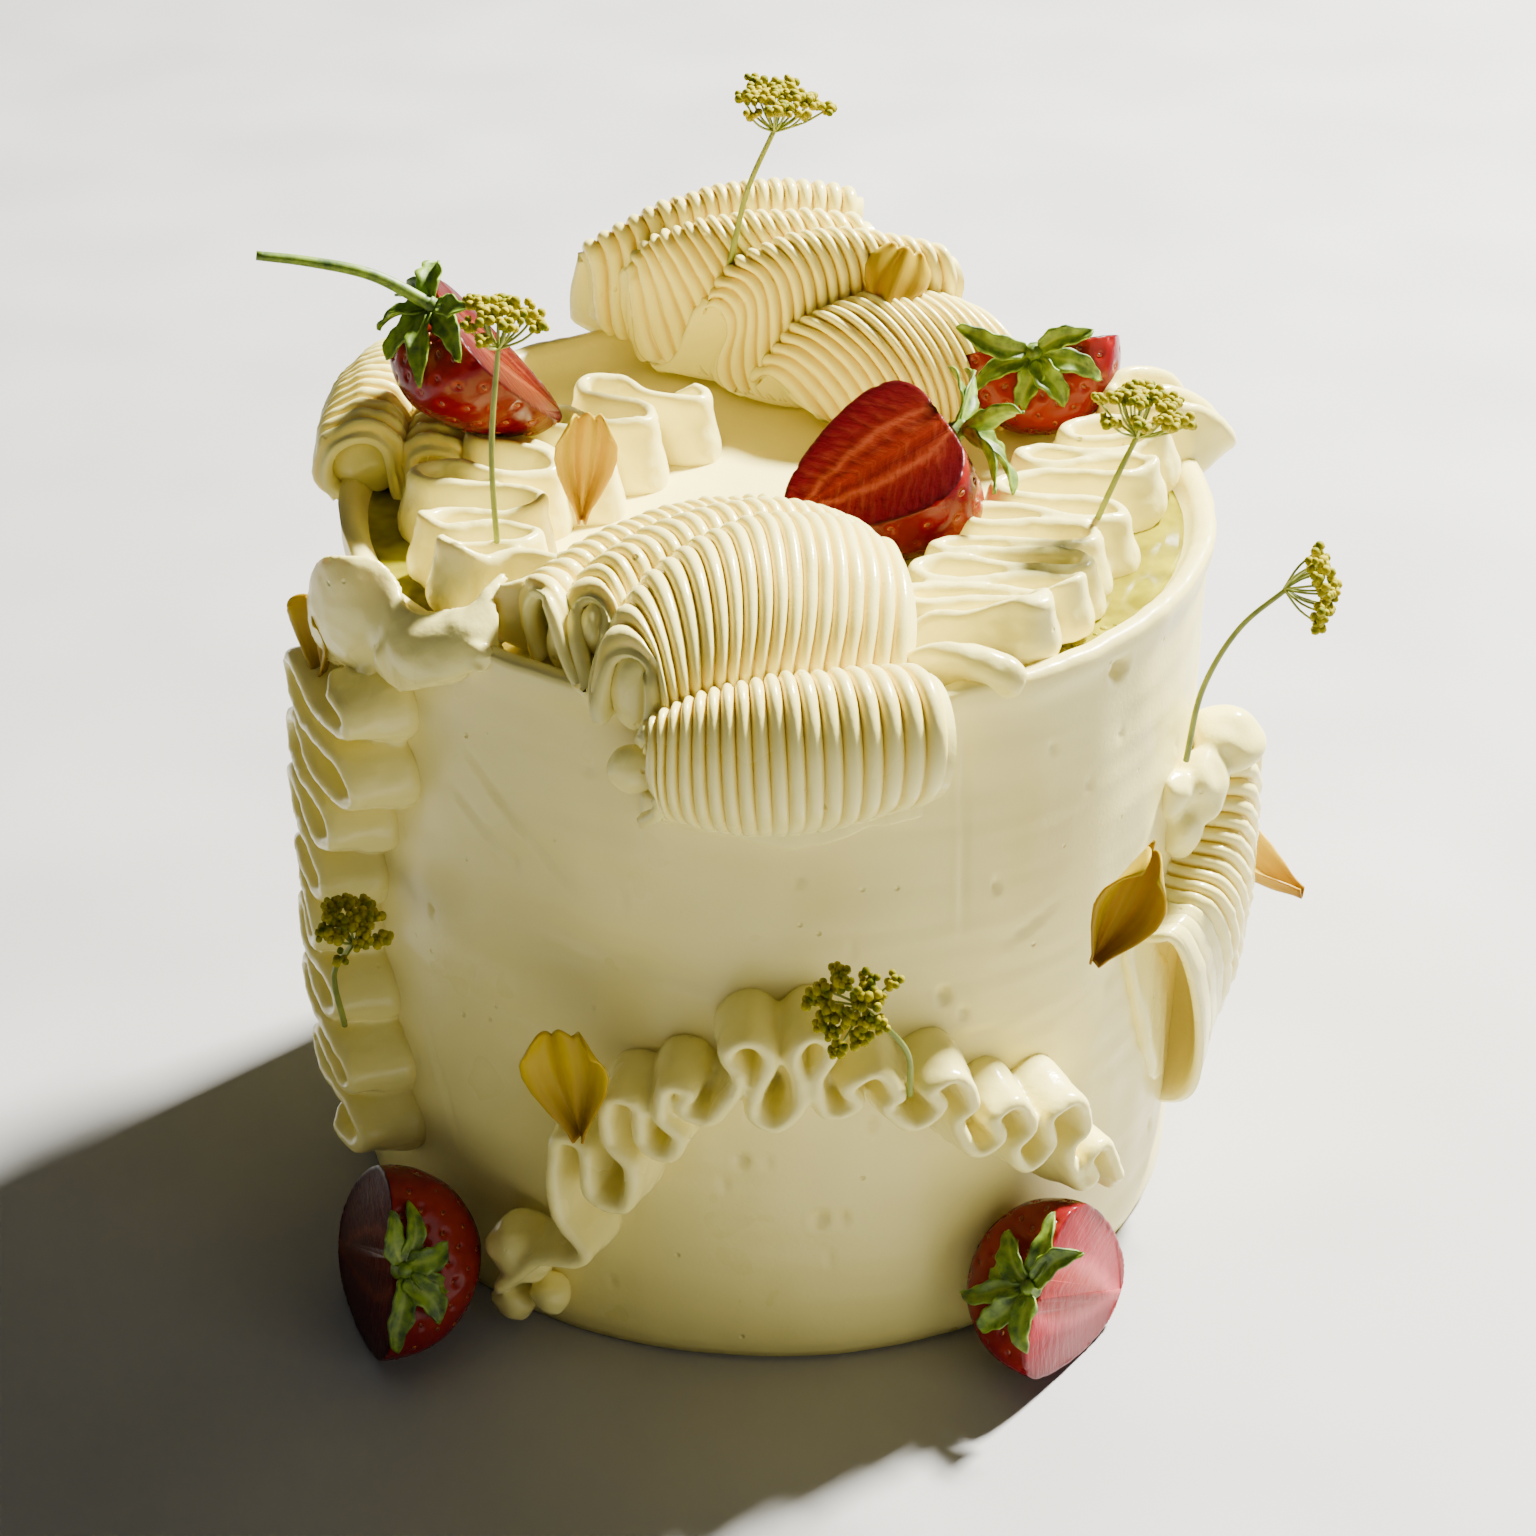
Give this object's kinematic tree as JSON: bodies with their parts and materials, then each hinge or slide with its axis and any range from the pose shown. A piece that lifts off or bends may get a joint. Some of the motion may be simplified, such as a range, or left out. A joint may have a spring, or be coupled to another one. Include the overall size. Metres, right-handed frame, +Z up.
{
  "type": "olive oil cake",
  "caption": "Tall round layer cake under smooth cream with piped ruffles, ribbed cream ribbons, halved strawberries, yellow flower heads, petals and pools of oil.",
  "frame": {"origin": "on the cake's axis, on the flat underside that it stands on", "axes": "+Z up along the cake's axis, -Y towards the front with the wide ribbed ribbon, +X to the right seen from the front"},
  "size_m": [0.2131, 0.1979, 0.2161],
  "materials": {
    "cream": "satin ivory whipped cream with warm yellow depths",
    "oil": "clear golden green oil, glossy",
    "strawberry": "glossy red skin with seeds, wet cut face",
    "leaf": "soft green leaf",
    "flower": "dusty yellow florets on olive stems",
    "petal": "silky golden yellow"
  },
  "bodies": {
    "root": {"cake": "cream", "oil_right": "oil", "oil_left": "oil", "ribbed_front": "cream", "ribbed_back": "cream", "ribbed_left": "cream", "ribbed_right": "cream", "ruffle_left_top": "cream", "ruffle_right_top": "cream", "ruffle_arch": "cream", "ruffle_side": "cream", "strawberry_front": "strawberry", "calyx_front": "leaf", "strawberry_right": "strawberry", "calyx_right": "leaf", "strawberry_left": "strawberry", "calyx_left": "leaf", "strawberry_lower_left": "strawberry", "calyx_lower_left": "leaf", "strawberry_lower_right": "strawberry", "calyx_lower_right": "leaf", "flower_top": "flower", "flower_left": "flower", "flower_right": "flower", "flower_far_right": "flower", "flower_side": "flower", "flower_arch": "flower", "petal_left_top": "petal", "petal_mound": "petal", "petal_right_upper": "petal", "petal_right_lower": "petal", "petal_arch": "petal", "petal_left_side": "petal"}
  },
  "joints": []
}
